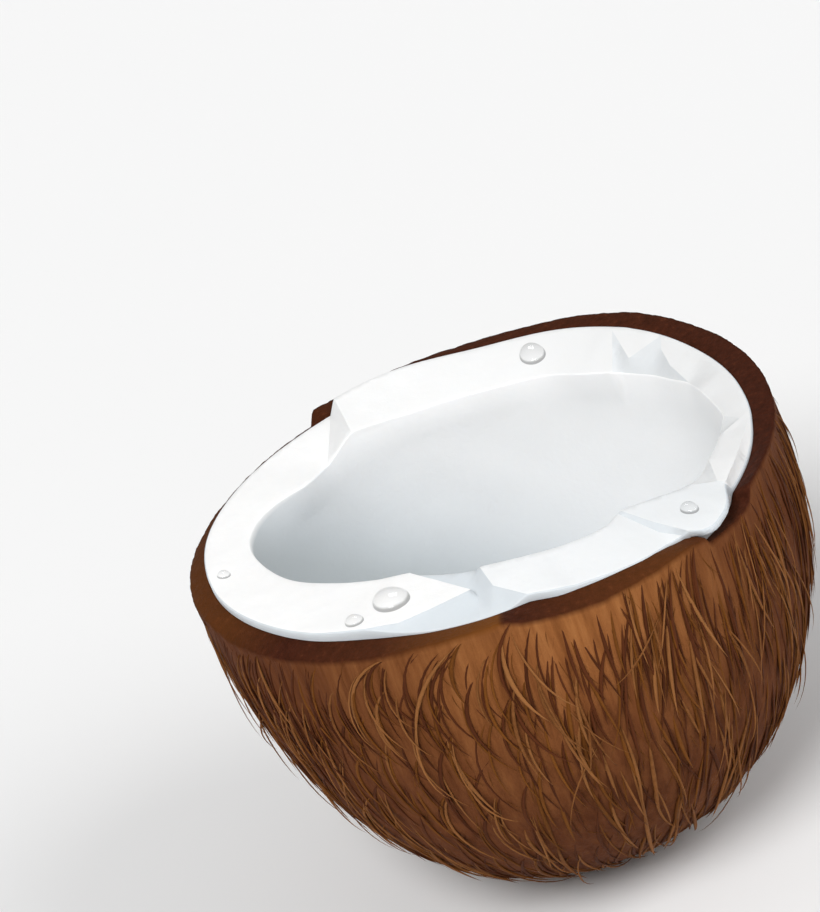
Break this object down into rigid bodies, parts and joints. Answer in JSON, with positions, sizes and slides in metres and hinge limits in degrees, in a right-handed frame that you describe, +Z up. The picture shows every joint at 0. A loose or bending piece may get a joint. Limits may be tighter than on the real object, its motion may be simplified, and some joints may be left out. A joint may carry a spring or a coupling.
{
  "type": "coconut half",
  "caption": "Half of a dehusked coconut with a brown fibrous shell, a broken white flesh rim and an open hollow, standing on its round end.",
  "frame": {"origin": "centre of the small flat under the round end, where the half rests", "axes": "+Z up through the open hollow, -Y towards the side with the broken tongue and lobe of flesh, +X to the right seen from that side"},
  "size_m": [0.1204, 0.1202, 0.0869],
  "materials": {
    "shell": "matt brown coconut shell with husk fibres",
    "flesh": "moist white coconut flesh, smooth and slightly waxy",
    "water": "clear water"
  },
  "bodies": {
    "root": {"shell": "shell", "flesh": "flesh", "droplet_left": "water", "droplet_front_large": "water", "droplet_front_small": "water", "droplet_back": "water", "droplet_right": "water"}
  },
  "joints": []
}
